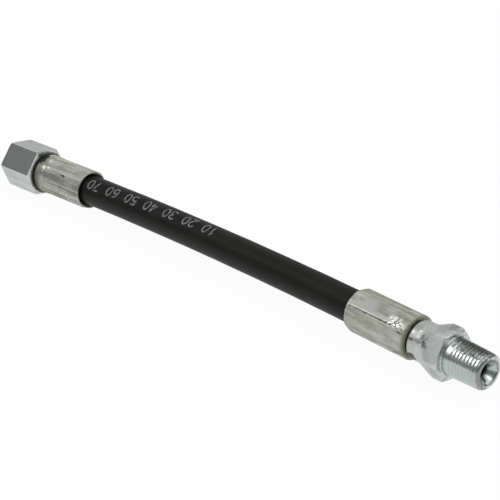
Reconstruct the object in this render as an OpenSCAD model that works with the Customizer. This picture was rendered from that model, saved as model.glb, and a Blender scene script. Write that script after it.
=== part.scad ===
// Short hydraulic hose assembly: a rubber hose with a crimped fitting at each end.
// One end has a swivel nut with a straight pipe thread and a 30 degree cone nose.
// The other end has a fixed taper pipe thread with a 30 degree seat in its mouth.
// X runs along the swivel end's axis, from the nut's open face into the hose, and Z is up.

/* [Hose] */
// Bore of the hose
hose_bore_d = 6.35; // [6.0:0.05:6.5]
// Wall of the inner tube
tube_wall = 1.2; // [1.0:0.05:1.4]
// Thickness of the wire braid
braid_wall = 0.7; // [0.5:0.05:0.9]
// Wall of the outer cover
cover_wall = 1.275; // [1.1:0.025:1.5]
// Length of hose in sight between the two ferrules
free_length = 156.4; // [90:0.2:600]
// Radius of the slight bend that the hose keeps from its coil
bend_radius = 1650; // [700:10:6000]

/* [Ferrules] */
// Length of a ferrule
ferrule_length = 28.8; // [26:0.1:34]
// Outside diameter of a ferrule before it is crimped
ferrule_d = 16.84; // [16.4:0.02:18]
// Number of flats that the crimping dies leave
crimp_flats = 8; // [6:1:10]
// Distance across two opposite crimp flats
crimp_af = 15.9; // [15.4:0.05:16.2]
// Round band that the dies leave at the fitting end
crimp_margin = 5.2; // [3:0.1:8]
// Height of the first crimp land on the swivel ferrule, in degrees above level
swivel_crimp_turn = 1; // [0:1:44]
// Height of the first crimp land on the pipe ferrule, in degrees above level
pipe_crimp_turn = 33; // [0:1:44]
// Bore of the ferrule's mouth, which stays open round the hose
mouth_d = 15; // [14.4:0.05:15.2]
// Length over which the bore opens from the hose to the mouth
mouth_length = 2.2; // [1.5:0.1:3]
// Rounding of the mouth's outer edge
mouth_round = 0.7; // [0.4:0.05:0.8]
// Diameter of the edge at the fitting end
collar_edge_d = 15.5; // [15:0.1:16.2]
// Diameter of the recess in the fitting end
recess_d = 13.0; // [12.6:0.1:13.6]
// Depth of that recess
recess_depth = 1.5; // [1:0.1:2]
// Thickness of the lip that locks the ferrule to its stem
lip_length = 2.5; // [2:0.1:3.5]
// Number of inner ribs that bite into the cover
bite_count = 4; // [2:1:4]
// Height of a bite rib
bite_height = 0.45; // [0.2:0.05:0.6]
// Width of a bite rib at its tip
bite_width = 1.2; // [0.8:0.1:1.6]
// How far the crimp presses the cover in, in radius
squeeze = 0.35; // [0.2:0.05:0.5]

/* [Swivel nut] */
// Nut size across its flats
nut_af = 19.05; // [18.5:0.05:22.2]
// Length of the nut
nut_length = 19; // [18.5:0.1:22]
// Turn of the nut as it lies, in degrees from flats level
nut_turn = 8.5; // [-15:0.5:15]
// Bore of the nut's thread, over the thread tips
nut_thread_d = 12.05; // [11.6:0.05:12.6]
// Length of the thread
nut_thread_length = 7; // [5:0.1:7.5]
// Lead-in chamfer at the mouth of the thread
nut_lead_in = 1; // [0.5:0.1:1.2]
// Bore behind the thread, which turns on the stem's head
swivel_bore_d = 13.72; // [13.4:0.02:14]
// Diameter of the countersink at the nut's back face
nut_back_d = 17.2; // [16:0.1:17.6]
// Width of the chamfer on the nut's back corners, in radius
nut_chamfer = 1.35; // [0.8:0.05:1.8]
// Width of the chamfer on the nut's front corners, in radius
nut_front_chamfer = 0.5; // [0.3:0.05:1.8]
// Distance from the nut's back face to the retaining wire
wire_back = 3.9; // [3.2:0.1:4.5]
// Thickness of the retaining wire
wire_d = 1.4; // [1:0.05:1.6]
// Opening in the ring of retaining wire, in degrees
wire_opening = 24; // [10:1:60]

/* [Swivel stem] */
// Distance from the nut's open face to the tip of the cone nose
nose_at = 8.2; // [8.1:0.1:9]
// Diameter of the cone nose at its tip
nose_tip_d = 7.4; // [6.6:0.1:8]
// Diameter of the cone nose at its foot
nose_foot_d = 12.2; // [11.4:0.1:12.6]
// Gap in sight between the nut and the ferrule
nut_gap = 1.2; // [0.8:0.1:2]

/* [Pipe stem] */
// Hexagon size across its flats
hex_af = 17.46; // [16.8:0.02:20]
// Length of the hexagon at its corners
hex_length = 5.6; // [4:0.1:9]
// Width of the chamfer on the hexagon's front corners, in radius
hex_chamfer = 1.1; // [0.5:0.05:2]
// Diameter of the round neck behind the hexagon
neck_d = 14.8; // [14:0.1:16]
// Length of the straight stretch of that neck
neck_length = 1.9; // [1:0.1:5]
// Rounding of the neck's shoulder at the ferrule
shoulder_round = 1.1; // [0.6:0.1:1.3]
// Radius of the hollow flare from the neck up to the hexagon
flare_radius = 11.6; // [6:0.1:16]
// Length of the taper thread in front of the hexagon
spigot_length = 15.5; // [14:0.1:18]
// Diameter of the taper thread at its tip
spigot_tip_d = 13.25; // [13:0.05:13.6]
// Growth of the thread's diameter for each unit of length
thread_taper = 0.0625; // [0.05:0.0025:0.08]
// Rounding of the tip's outer edge
tip_round = 1.4; // [0.8:0.1:1.6]
// Diameter of the seat at the mouth
seat_d = 9.1; // [8.4:0.1:9.8]

/* [Both stems] */
// Flow bore through each stem
flow_d = 4.8; // [4.2:0.1:5.2]
// Half angle of the cone nose and of the seat, in degrees
seat_angle = 30; // [28:0.5:37]
// Diameter of the stem in sight inside the ferrule's recess
collar_d = 11.6; // [11:0.1:12]
// Diameter of the groove that takes the ferrule's lip
groove_d = 9.6; // [8.6:0.1:10.2]
// Thickness of the collar that stops the end of the hose
stop_length = 1.2; // [0.8:0.1:2]
// Diameter of the stem's tail between its barbs
tail_d = 6.5; // [6.4:0.05:6.8]
// Height of a barb
barb_height = 0.22; // [0.1:0.02:0.3]
// Number of barbs
barb_count = 5; // [2:1:6]
// Distance from the tail's end to the ferrule's mouth
tail_inset = 1.1; // [0.8:0.1:3]

/* [Fits] */
// Running gap between the nut and the stem's head, in radius
running_gap = 0.06; // [0.02:0.01:0.1]
// Gap between pieces that are pressed together, in radius
seat_gap = 0.02; // [0.01:0.01:0.04]
// Gap between the retaining wire and the groove in the nut
wire_gap = 0.1; // [0.06:0.01:0.14]

/* [Hidden] */
$fn = 96;
over = 1;                    // how far a cutting shape runs past what it cuts
arc_steps = 8;               // straight steps in a small rounded edge
bend_steps = 24;             // steps along the bend of the hose
layer_steps = 96;            // steps round a hose layer
wire_steps = 48;             // steps round the retaining wire
tube_squeeze = 0.3;          // share of the crimp's squeeze that reaches the inner tube
braid_squeeze = 0.5;         // share of it that reaches the braid
tongue_inset = 0.2;          // wall left round the tongue that joins a layer's stretches
tongue_length = 0.4;         // how far that tongue runs into the stretch in sight
barb_lead = 1.5;             // plain tail in front of the first barb
tail_lead = 1;               // plain tail past the last barb
tail_chamfer = 0.5;          // length of the chamfer at the tail's end
tail_drop = 0.4;             // depth of that chamfer
nose_break = 0.2;            // broken edge at the tip of the cone nose
head_break = 0.3;            // broken edges of the head that the nut turns on
corner_run = 0.1;            // how far a chamfer cone runs past the corners it cuts
core_inset = 0.2;            // step between a stem's core and the collar round it
swell_length = 2;            // length over which the pressed cover swells out again
hose_zinc = "#b2b3a2";
bright_zinc = "#c3c8c6";
rubber_black = "#23231f";
tube_black = "#2c2c2a";
wire_brass = "#a48f5c";

// Radii of the hose layers
bore_r = hose_bore_d / 2;
tube_r = bore_r + tube_wall;
braid_r = tube_r + braid_wall;
hose_r = braid_r + cover_wall;
pressed_r = hose_r - squeeze;
pressed_tube_r = tube_r - squeeze * tube_squeeze;
pressed_braid_r = braid_r - squeeze * braid_squeeze;

// Stations of a fitting, from the ferrule's fitting end into the hose
lip_end = recess_depth + lip_length;
stop_end = lip_end + stop_length;
hose_start = stop_end + seat_gap;
flare_end = ferrule_length - mouth_length;
flare_start = flare_end - swell_length;
barb_start = hose_start + barb_lead;
tail_end = ferrule_length - tail_inset;
barb_pitch = (tail_end - tail_lead - barb_start) / barb_count;
bite_pitch = (flare_start - hose_start) / (bite_count + 1);
ferrule_r = ferrule_d / 2;
mouth_r = mouth_d / 2;
edge_round = ferrule_r - collar_edge_d / 2;

// Stations of the swivel end, from the nut's open face
ferrule_x = nut_length + nut_gap;
thread_end = nut_lead_in + nut_thread_length;
swivel_bore_r = swivel_bore_d / 2;
head_r = swivel_bore_r - running_gap;
head_end = nut_length + nut_gap / 2;
nose_foot_at = nose_at + (nose_foot_d - nose_tip_d) / 2 / tan(seat_angle);
thread_step = swivel_bore_r - nut_thread_d / 2;
wire_at = nut_length - wire_back;
wire_ring_r = head_r + running_gap / 2;

// Stations of the pipe stem, from its ferrule outwards
shoulder_start = 1;
neck_start = shoulder_start + shoulder_round;
flare_from = neck_start + neck_length;
hex_corner_r = hex_af / 2 / cos(30);
flare_turn = acos(1 - (hex_corner_r - neck_d / 2) / flare_radius);
hex_back = flare_from + flare_radius * sin(flare_turn);
hex_front = hex_back + hex_length;
spigot_end = hex_front + spigot_length;
spigot_root_r = spigot_tip_d / 2 + thread_taper / 2 * spigot_length;
thread_tip_r = spigot_tip_d / 2 + thread_taper / 2 * tip_round;

// Bend of the hose, and where it brings the pipe end
bend_angle = free_length / bend_radius * 180 / PI;
bend_x = ferrule_x + ferrule_length;
pipe_ferrule_x = bend_x + bend_radius * sin(bend_angle) + ferrule_length * cos(bend_angle);
pipe_ferrule_y = -bend_radius * (1 - cos(bend_angle)) - ferrule_length * sin(bend_angle);

// Points of a quarter round from [r0, z0] to [r1, z1], full at the larger radius
function round_edge(r0, z0, r1, z1) =
    [for (i = [0:arc_steps]) let (a = 90 * i / arc_steps)
        [r0 + (r1 - r0) * sin(a), z1 + (z0 - z1) * cos(a)]];

// Outline of the stem's tail inside the hose, with its barbs, enlarged by gap
function barbs(gap) =
    [for (i = [0:barb_count - 1], side = [0, 1])
        side == 0
            ? [tail_d / 2 + barb_height + gap, barb_start + i * barb_pitch]
            : [tail_d / 2 + gap, barb_start + (i + 1) * barb_pitch]];

// Inside of the ferrule round the hose, with its bite ribs, drawn in by gap
function grip(gap) =
    [for (i = [1:bite_count], corner = [0:3])
        let (z = hose_start + i * bite_pitch,
             tip = bite_width / 2,
             foot = tip + bite_height,
             along = [-foot, -tip, tip, foot][corner],
             high = corner == 1 || corner == 2)
        [pressed_r - (high ? bite_height : 0) - gap, z + along]];

// Frame of the swivel fitting: Z runs from the ferrule's fitting end into the hose
module at_swivel() {
    translate([ferrule_x, 0, 0])
        rotate([0, 90, 0])
            children();
}

// The same frame for the pipe fitting, past the bend
module at_pipe() {
    translate([pipe_ferrule_x, pipe_ferrule_y, 0])
        rotate([0, 0, -bend_angle])
            rotate([0, -90, 0])
                children();
}

// Regular prism round Z, with one corner the given turn above level
module turned_prism(sides, across_flats, turn, from, to) {
    translate([0, 0, from])
        rotate(90 - turn)
            cylinder(d = across_flats / cos(180 / sides), h = to - from, $fn = sides);
}

// The stretch of a hose layer in sight, along the bend
module bent_layer(r_in, r_out) {
    translate([bend_x, -bend_radius, 0])
        rotate(90 - bend_angle)
            rotate_extrude(angle = bend_angle, $fn = bend_steps * 360 / bend_angle)
                translate([bend_radius, 0])
                    difference() {
                        circle(r = r_out, $fn = layer_steps);
                        circle(r = r_in, $fn = layer_steps);
                    }
}

// Stretch of the stem inside the ferrule and the hose, the same at both ends
module stem_tail() {
    rotate_extrude()
        polygon(concat(
            [[0, -shoulder_start], [collar_d / 2, -shoulder_start],
             [collar_d / 2, recess_depth], [groove_d / 2, recess_depth],
             [groove_d / 2, lip_end], [collar_d / 2, lip_end],
             [collar_d / 2, stop_end], [tail_d / 2, stop_end],
             [tail_d / 2, barb_start]],
            barbs(0),
            [[tail_d / 2, tail_end - tail_chamfer], [tail_d / 2 - tail_drop, tail_end],
             [0, tail_end]]));
}

// Crimped ferrule: a turned shell, pressed flat by the dies along most of its length
module ferrule(crimp_turn) {
    color(hose_zinc)
        difference() {
            intersection() {
                rotate_extrude()
                    polygon(concat(
                        [[0, 0]],
                        round_edge(ferrule_r - edge_round, 0, ferrule_r, edge_round),
                        [for (i = [0:arc_steps]) let (a = 90 * i / arc_steps)
                            [ferrule_r - mouth_round * (1 - cos(a)),
                             ferrule_length - mouth_round * (1 - sin(a))]],
                        [[0, ferrule_length]]));
                union() {
                    translate([0, 0, -over])
                        cylinder(r = ferrule_r + over, h = crimp_margin + over);
                    turned_prism(crimp_flats, crimp_af, crimp_turn,
                                 crimp_margin, ferrule_length + over);
                }
            }
            rotate_extrude()
                polygon(concat(
                    [[0, -over], [recess_d / 2, -over], [recess_d / 2, recess_depth],
                     [groove_d / 2 + seat_gap, recess_depth],
                     [groove_d / 2 + seat_gap, lip_end - seat_gap],
                     [pressed_r, lip_end - seat_gap]],
                    grip(0),
                    [[pressed_r, flare_start], [hose_r + seat_gap, flare_end],
                     [mouth_r, ferrule_length], [mouth_r, ferrule_length + over],
                     [0, ferrule_length + over]]));
        }
}

// Hexagon nut with a threaded mouth, a swivel bore and a groove for its wire
module swivel_nut() {
    corner_r = nut_af / 2 / cos(30);
    back_z = (nut_chamfer + corner_run) * tan(30);
    front_z = (nut_front_chamfer + corner_run) * tan(30);
    back_depth = nut_back_d / 2 - swivel_bore_r;
    color(bright_zinc)
        rotate([0, 90, 0])
            difference() {
                intersection() {
                    turned_prism(6, nut_af, nut_turn, 0, nut_length);
                    rotate_extrude()
                        polygon([[0, 0], [corner_r - nut_front_chamfer, 0],
                                 [corner_r + corner_run, front_z],
                                 [corner_r + corner_run, nut_length - back_z],
                                 [corner_r - nut_chamfer, nut_length], [0, nut_length]]);
                }
                rotate_extrude()
                    polygon([[0, -over],
                             [nut_thread_d / 2 + nut_lead_in + over, -over],
                             [nut_thread_d / 2, nut_lead_in],
                             [nut_thread_d / 2, thread_end],
                             [swivel_bore_r, thread_end + thread_step],
                             [swivel_bore_r, nut_length - back_depth],
                             [swivel_bore_r + back_depth + over, nut_length + over],
                             [0, nut_length + over]]);
                translate([0, 0, wire_at])
                    rotate_extrude()
                        translate([wire_ring_r, 0])
                            circle(d = wire_d + 2 * wire_gap, $fn = wire_steps);
            }
}

// Sprung ring of wire, half in the stem's groove and half in the nut's
module nut_retaining_wire() {
    color(bright_zinc)
        translate([wire_at, 0, 0])
            rotate([0, 90, 0])
                rotate_extrude(angle = 360 - wire_opening)
                    translate([wire_ring_r, 0])
                        circle(d = wire_d, $fn = wire_steps);
}

// Stem with the head that the nut turns on and the cone nose that seals
module swivel_stem() {
    color(bright_zinc)
        difference() {
            union() {
                at_swivel()
                    stem_tail();
                rotate([0, 90, 0])
                    rotate_extrude()
                        polygon([[0, nose_at], [nose_tip_d / 2 - nose_break, nose_at],
                                 [nose_tip_d / 2, nose_at + nose_break],
                                 [nose_foot_d / 2, nose_foot_at],
                                 [head_r - head_break, nose_foot_at],
                                 [head_r, nose_foot_at + head_break],
                                 [head_r, head_end - head_break],
                                 [head_r - head_break, head_end], [0, head_end]]);
            }
            translate([nose_at - over, 0, 0])
                rotate([0, 90, 0])
                    cylinder(d = flow_d, h = ferrule_x + tail_end - nose_at + 2 * over);
            translate([wire_at, 0, 0])
                rotate([0, 90, 0])
                    rotate_extrude()
                        translate([wire_ring_r, 0])
                            circle(d = wire_d + 2 * seat_gap, $fn = wire_steps);
        }
}

// Stem with the fixed hexagon and the taper pipe thread
module pipe_stem() {
    seat_depth = (seat_d - flow_d) / 2 / tan(seat_angle);
    chamfer_z = (hex_chamfer + corner_run) * tan(30);
    color(bright_zinc)
        at_pipe()
            difference() {
                union() {
                    stem_tail();
                    rotate([180, 0, 0])
                        intersection() {
                            rotate_extrude()
                                polygon(concat(
                                    [[0, shoulder_start / 2],
                                     [collar_d / 2 - core_inset, shoulder_start / 2],
                                     [collar_d / 2 - core_inset, shoulder_start]],
                                    round_edge(neck_d / 2 - shoulder_round, shoulder_start,
                                               neck_d / 2, neck_start),
                                    [for (i = [0:2 * arc_steps])
                                        let (a = flare_turn * i / (2 * arc_steps))
                                        [neck_d / 2 + flare_radius * (1 - cos(a)),
                                         flare_from + flare_radius * sin(a)]],
                                    [[hex_corner_r + corner_run, hex_back],
                                     [hex_corner_r + corner_run, hex_front - chamfer_z],
                                     [hex_corner_r - hex_chamfer, hex_front],
                                     [spigot_root_r, hex_front],
                                     [thread_tip_r, spigot_end - tip_round]],
                                    [for (i = [1:arc_steps]) let (a = 90 * i / arc_steps)
                                        [thread_tip_r - tip_round * (1 - cos(a)),
                                         spigot_end - tip_round * (1 - sin(a))]],
                                    [[0, spigot_end]]));
                            turned_prism(6, hex_af, 0, 0, spigot_end + over);
                        }
                }
                translate([0, 0, -spigot_end - over])
                    cylinder(d = flow_d, h = spigot_end + tail_end + 2 * over);
                rotate([180, 0, 0])
                    rotate_extrude()
                        polygon([[0, spigot_end - seat_depth - flow_d / 2 / tan(seat_angle)],
                                 [seat_d / 2, spigot_end],
                                 [seat_d / 2, spigot_end + over], [0, spigot_end + over]]);
            }
}

module swivel_ferrule() {
    at_swivel()
        ferrule(swivel_crimp_turn);
}

module pipe_ferrule() {
    at_pipe()
        ferrule(-pipe_crimp_turn);
}

// Outline of the tongue that joins a layer's end to its stretch in sight
function tongue(r_in, r_out) =
    [for (step = [0:3])
        [step < 2 ? r_in + tongue_inset : r_out - tongue_inset,
         ferrule_length + (step == 1 || step == 2 ? tongue_length : 0)]];

// End of the inner tube, stretched over a stem's barbs
module tube_end() {
    tail_r = tail_d / 2 + seat_gap;
    rotate_extrude()
        polygon(concat(
            [[pressed_tube_r, hose_start], [tail_r, hose_start], [tail_r, barb_start]],
            barbs(seat_gap), [[tail_r, ferrule_length]], tongue(bore_r, tube_r),
            [[pressed_tube_r, ferrule_length]]));
}

module inner_tube() {
    color(tube_black) {
        at_swivel()
            tube_end();
        bent_layer(bore_r, tube_r);
        at_pipe()
            tube_end();
    }
}

// End of the braid, pressed in by the crimp
module braid_end() {
    rotate_extrude()
        polygon(concat(
            [[pressed_braid_r, hose_start], [pressed_tube_r, hose_start],
             [pressed_tube_r, ferrule_length]],
            tongue(tube_r, braid_r), [[pressed_braid_r, ferrule_length]]));
}

module wire_braid() {
    color(wire_brass) {
        at_swivel()
            braid_end();
        bent_layer(tube_r, braid_r);
        at_pipe()
            braid_end();
    }
}

// End of the cover, pressed in by the crimp and grooved by the bite ribs
module cover_end() {
    rotate_extrude()
        polygon(concat(
            [[pressed_braid_r, hose_start], [pressed_r - seat_gap, hose_start]],
            grip(seat_gap),
            [[pressed_r - seat_gap, flare_start], [hose_r - seat_gap, flare_end],
             [hose_r - seat_gap, ferrule_length]],
            [for (step = [3:-1:0]) tongue(braid_r, hose_r)[step]],
            [[pressed_braid_r, ferrule_length]]));
}

module outer_cover() {
    color(rubber_black) {
        at_swivel()
            cover_end();
        bent_layer(braid_r, hose_r);
        at_pipe()
            cover_end();
    }
}

swivel_nut();
nut_retaining_wire();
swivel_stem();
swivel_ferrule();
inner_tube();
wire_braid();
outer_cover();
pipe_ferrule();
pipe_stem();
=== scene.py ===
"""Looks of a short hydraulic hose assembly, built round its packed construction model.

Lengths are in metres and every piece stands in that model's frame: X runs along the swivel
fitting from the nut's open face into the hose, and Z is up. A place on the assembly is given by
three numbers: its station, which is the distance along the hose's line from the nut's open face,
its radius from that line, and its height angle, which is 0 level on the -Y side, 90 degrees on
top and 180 degrees level on the +Y side.
"""

from __future__ import annotations

import logging
import math
from dataclasses import dataclass, field
from enum import Enum
from typing import Any, Callable, Sequence

import bmesh
import bpy
import numpy as np
from mathutils import Matrix, Vector

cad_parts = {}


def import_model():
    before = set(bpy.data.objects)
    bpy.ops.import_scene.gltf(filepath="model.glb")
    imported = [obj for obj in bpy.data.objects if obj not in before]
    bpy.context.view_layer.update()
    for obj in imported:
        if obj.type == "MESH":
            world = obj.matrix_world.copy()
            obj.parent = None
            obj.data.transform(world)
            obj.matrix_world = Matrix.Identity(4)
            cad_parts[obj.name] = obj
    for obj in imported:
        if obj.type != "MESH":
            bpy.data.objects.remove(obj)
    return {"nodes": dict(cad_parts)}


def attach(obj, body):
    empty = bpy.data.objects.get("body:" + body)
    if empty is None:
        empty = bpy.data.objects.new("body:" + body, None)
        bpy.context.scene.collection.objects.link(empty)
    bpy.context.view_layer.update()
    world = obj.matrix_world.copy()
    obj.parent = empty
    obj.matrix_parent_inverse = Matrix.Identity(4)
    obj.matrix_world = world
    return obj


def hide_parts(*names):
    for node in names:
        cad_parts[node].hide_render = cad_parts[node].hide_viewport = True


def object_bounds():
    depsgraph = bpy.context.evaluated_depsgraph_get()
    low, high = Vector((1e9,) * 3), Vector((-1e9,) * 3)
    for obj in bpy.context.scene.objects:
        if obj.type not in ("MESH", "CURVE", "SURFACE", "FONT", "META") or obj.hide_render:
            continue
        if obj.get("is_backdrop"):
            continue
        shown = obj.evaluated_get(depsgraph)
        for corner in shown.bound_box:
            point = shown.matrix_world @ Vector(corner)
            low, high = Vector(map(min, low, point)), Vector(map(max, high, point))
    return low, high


LOG = logging.getLogger("hose_assembly")
MM = 0.001
SAME_PLACE = 1e-7  # distance in metres below which two points are one
GROOVE_ROWS = 9  # rows of points across a half-round groove
CREASE_DEG = 40.0  # angle between faces above which an edge stays sharp
HOSE_R = 6.35 * MM  # radius of the hose over its cover
CORNER_OFFSETS_DEG = (0.3, 0.9, 2, 4)  # angles that are packed beside a hexagon's corners
FACE_STEPS = 6  # even steps from there to the middle of a hexagon's flat
Colour = tuple[float, float, float]
Place = tuple[float, float, float]
Number = Any  # a number or a numpy array of numbers


class Body(Enum):
    """Bodies of the construction model that a piece can ride on."""

    HOSE = "hose_assembly"
    NUT = "nut_body"


class Slot(Enum):
    """Material slots of the part's record, named when the pieces made here are finished."""

    BRIGHT_ZINC = "bright_zinc"
    STEM_ZINC = "stem_zinc"
    FERRULE_ZINC = "ferrule_zinc"
    COVER_RUBBER = "cover_rubber"


class End(Enum):
    """Ends of the hose, named for their fittings."""

    SWIVEL = "swivel"
    PIPE = "pipe"


# ---------------------------------------------------------------- the hose's line and its skins


@dataclass(frozen=True)
class HoseLine:
    """Line down the middle of the assembly: straight in both fittings, an arc between them."""

    bend_start: float = 49.0 * MM
    free_length: float = 156.4 * MM
    bend_radius: float = 1650 * MM
    ferrule_length: float = 28.8 * MM

    @property
    def bend_angle(self) -> float:
        """Angle that the hose turns through, in radians."""
        return self.free_length / self.bend_radius

    @property
    def bend_end(self) -> float:
        """Station where the hose goes into the pipe ferrule."""
        return self.bend_start + self.free_length

    def fitting_end(self, end: End) -> float:
        """Gives the station of a ferrule's end that faces its fitting.

        Args:
            end: End of the hose that the ferrule is at.

        Returns:
            The station.
        """
        if end is End.SWIVEL:
            return self.bend_start - self.ferrule_length
        return self.bend_end + self.ferrule_length

    def inwards(self, end: End) -> int:
        """Gives 1 where stations rise from a fitting into the hose, and -1 where they fall."""
        return 1 if end is End.SWIVEL else -1

    def axis_angle(self, end: End) -> float:
        """Gives the angle of a fitting's axis from X, in radians."""
        return 0.0 if end is End.SWIVEL else self.bend_angle

    def point(self, station: Number, radius: Number, height: Number) -> np.ndarray:
        """Gives the places of points round the line.

        Args:
            station: Distance along the line from the nut's open face.
            radius: Distance from the line.
            height: Height angle in radians.

        Returns:
            An array with x, y and z in its last axis.
        """
        station, radius, height = np.broadcast_arrays(station, radius, height)
        turn = np.clip(station - self.bend_start, 0, self.free_length) / self.bend_radius
        before = np.minimum(station, self.bend_start)
        past = np.maximum(station - self.bend_end, 0)
        x = before + self.bend_radius * np.sin(turn) + past * np.cos(turn)
        y = -self.bend_radius * (1 - np.cos(turn)) - past * np.sin(turn)
        side = radius * np.cos(height)
        return np.stack(
            [x - np.sin(turn) * side, y - np.cos(turn) * side, radius * np.sin(height)], axis=-1
        )


def soft_min(a: Number, b: Number, blend: float) -> Number:
    """Gives the smaller of two values, with the corner where they meet rounded off.

    Args:
        a: First value.
        b: Second value.
        blend: Difference below which the two blend into each other.

    Returns:
        The smaller value, up to a quarter of blend lower where both are alike.
    """
    share = np.maximum(blend - np.abs(a - b), 0) / blend
    return np.minimum(a, b) - share * share * blend / 4


def ease(value: Number, start: float, end: float) -> Number:
    """Gives 0 before start, 1 past end and a smooth step between them."""
    share = np.clip((value - start) / (end - start), 0, 1)
    return share * share * (3 - 2 * share)


def sector_angles(count: int, start: float, fine: Sequence[float], coarse: int) -> np.ndarray:
    """Gives height angles round a piece that are packed closer at its corners.

    Args:
        count: How many corners the piece has.
        start: Height angle of the first corner, in degrees.
        fine: Offsets from a corner at which angles are packed, in degrees.
        coarse: Even steps from the last of them to the middle between two corners.

    Returns:
        The angles in radians, rising, once round.
    """
    half = 180 / count
    middle = np.linspace(fine[-1], half, coarse + 1)[1:]
    rising = [0.0, *fine, *middle]
    sector = rising + [2 * half - offset for offset in reversed(rising[1:-1])]
    return np.radians([start + 2 * half * i + offset for i in range(count) for offset in sector])


def even_angles(step_deg: float) -> np.ndarray:
    """Gives height angles once round a piece, at even steps."""
    return np.radians(np.arange(0, 360, step_deg))


def half_round(middle: float, surface: float, depth: float) -> list[tuple[float, float]]:
    """Gives the outline of a half-round groove.

    Args:
        middle: Station of its middle.
        surface: Radius of the surface that it is cut into.
        depth: How far it goes outwards from there. A negative one cuts towards the line.

    Returns:
        Stations and radii, from the groove's high station where depth is positive, and from
        its low one where depth is negative.
    """
    return [
        (middle + depth * math.cos(angle), surface + depth * math.sin(angle))
        for angle in np.linspace(0, math.pi, GROOVE_ROWS)
    ]


class Skin:
    """Rows of points round the hose's line, which close up to the surface of one piece."""

    def __init__(self, line: HoseLine, heights: np.ndarray) -> None:
        """Starts an empty skin.

        Args:
            line: The line that the rows go round.
            heights: Height angles of the points in each row, in radians.
        """
        self.line = line
        self.heights = heights
        self.rows: list[tuple[np.ndarray, np.ndarray]] = []

    def row(self, station: Number, radius: Number) -> None:
        """Adds one row of points."""
        even = np.zeros_like(self.heights)
        self.rows.append((station + even, radius + even))

    def outline(self, points: Sequence[tuple[float, ...]], steps: int = 3) -> None:
        """Adds a row at each point of an outline whose corners are rounded.

        Args:
            points: Station, radius and, where the corner is rounded, how far from the corner
                its rounding starts.
            steps: Rows in each rounding, less one.
        """
        for index, corner in enumerate(points):
            here = np.array(corner[:2])
            reach = corner[2] if len(corner) > 2 else 0.0
            if not reach:
                self.row(*here)
                continue
            arms = []
            for other in (points[index - 1][:2], points[index + 1][:2]):
                arm = np.array(other) - here
                arms.append(here + arm * min(1.0, reach / np.linalg.norm(arm)))
            for share in np.linspace(0, 1, steps + 1):
                near, far = arms[0] + (here - arms[0]) * share, here + (arms[1] - here) * share
                self.row(*(near + (far - near) * share))

    def thread(self, cut: ThreadCut, first: float, last: float) -> None:
        """Adds the rows of a screw thread.

        Args:
            cut: The thread's form.
            first: Station of its first row.
            last: Station of its last row.
        """
        for station in np.linspace(first, last, math.ceil(abs(last - first) / cut.step) + 1):
            self.row(station, cut.radius(station, self.heights))

    def limit(self, radius: Number, blend: float, first: int = 0) -> None:
        """Cuts the rows down to a radius, such as a hexagon's, with a rounded edge.

        Args:
            radius: The largest radius at each height angle.
            blend: Size of the rounding.
            first: The row to start with.
        """
        for index in range(first, len(self.rows)):
            station, free = self.rows[index]
            self.rows[index] = (station, soft_min(free, radius, blend))

    def build(self, name: str, crease: float = CREASE_DEG, dents: Sequence[Dent] = ()) -> Piece:
        """Makes the closed mesh.

        Args:
            name: Name of the piece.
            crease: Angle between faces above which an edge stays sharp, in degrees.
            dents: Marks that are pressed into the surface.

        Returns:
            The piece.
        """
        stations = np.array([row[0] for row in self.rows])
        radii = np.array([row[1] for row in self.rows])
        heights = np.broadcast_to(self.heights, stations.shape)
        for dent in dents:
            radii = radii - dent.depth_at(stations, radii, heights)
        points = self.line.point(stations, radii, heights).reshape(-1, 3)
        rows, columns = stations.shape
        index = np.arange(rows * columns).reshape(rows, columns)
        right, below = np.roll(index, -1, axis=1), np.roll(index, -1, axis=0)
        quads = np.stack([index, right, np.roll(right, -1, axis=0), below], axis=-1)
        return Piece.from_faces(name, points, quads.reshape(-1, 4), crease)


@dataclass(frozen=True)
class ThreadCut:
    """Form of a right-hand screw thread with straight flanks.

    The flats on its crests and in its roots are given as shares of its pitch.
    """

    crest: Callable[[Number], Number]
    depth: Callable[[Number], Number]
    pitch: float = 25.4 / 18 * MM
    flat: float = 0.1
    root: float = 0.1
    step: float = 0.06 * MM

    def radius(self, station: Number, heights: Number) -> Number:
        """Gives the thread's radius.

        Args:
            station: Where it is wanted.
            heights: Height angles there, in radians.

        Returns:
            The radius of its surface.
        """
        share = (station / self.pitch + heights / (2 * math.pi)) % 1
        off_crest = np.abs((share + 0.5) % 1 - 0.5)
        flank = 0.5 - self.flat / 2 - self.root / 2
        fall = np.clip((off_crest - self.flat / 2) / flank, 0, 1)
        return self.crest(station) - self.depth(station) * fall


@dataclass(frozen=True)
class Dent:
    """Oval mark pressed into a surface, with its sizes in millimetres."""

    station: float
    height_deg: float
    length: float
    width: float
    depth: float

    def depth_at(self, stations: Number, radii: Number, heights: Number) -> Number:
        """Gives how deep the mark is at places on the surface.

        Args:
            stations: Stations of the places.
            radii: Their radii.
            heights: Their height angles, in radians.

        Returns:
            The depth at each of them, in metres.
        """
        around = (heights - math.radians(self.height_deg) + math.pi) % (2 * math.pi) - math.pi
        along = (stations - self.station * MM) / (self.length * MM)
        across = around * radii / (self.width * MM)
        return self.depth * MM * np.exp(-((along**2 + across**2) ** 2))


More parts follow.
